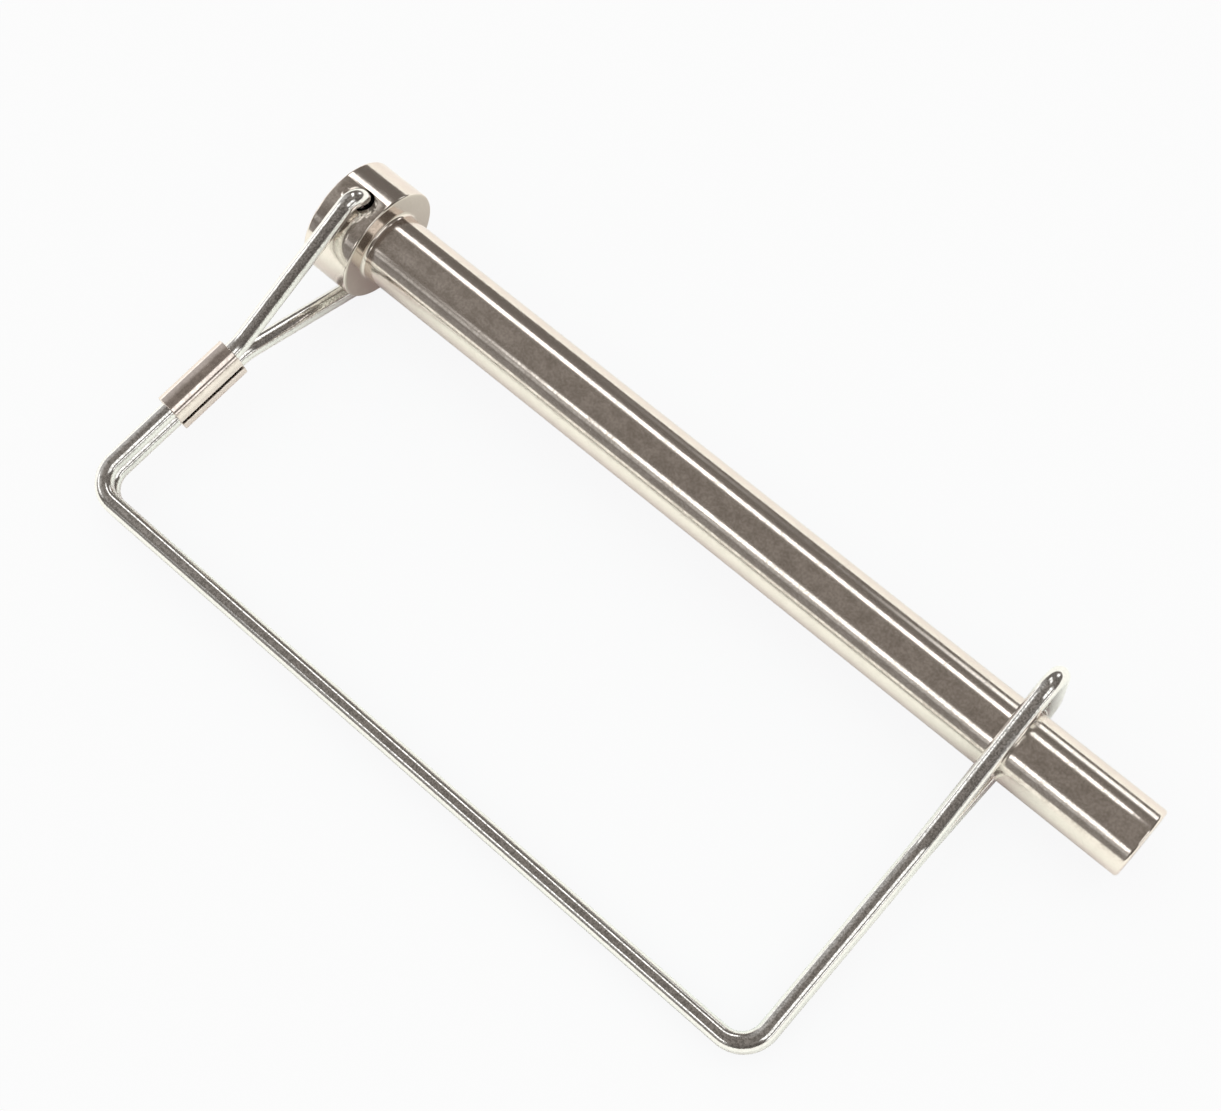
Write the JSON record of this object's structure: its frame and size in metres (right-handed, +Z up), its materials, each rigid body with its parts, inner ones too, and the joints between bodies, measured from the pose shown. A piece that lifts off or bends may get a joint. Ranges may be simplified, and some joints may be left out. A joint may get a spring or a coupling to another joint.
{
  "type": "snap pin",
  "caption": "Headed steel cross pin with a square spring-wire bail that hooks into the head and snaps round the shank.",
  "frame": {"origin": "on the surface that the pin lies on, under the middle of its outline", "axes": "+X along the pin from head to tip, +Z up, the bail lies towards -Y"},
  "size_m": [0.1266, 0.0582, 0.0216],
  "materials": {
    "pin_steel": "bright plated, turned",
    "spring_wire": "bright plated, drawn",
    "sleeve_steel": "bright plated, pressed"
  },
  "bodies": {
    "pin": {"pin": "pin_steel"},
    "bail": {"wire_bail": "spring_wire", "crimp_sleeve": "sleeve_steel"}
  },
  "joints": [
    {"name": "bail_swing", "type": "hinge", "parent": "pin", "child": "bail", "pos_m": [-0.05837, 0.0191, 0.01111], "axis": [0.0258, -0.0039, 0.9997], "range_deg": [-1.15, 0.2]}
  ]
}
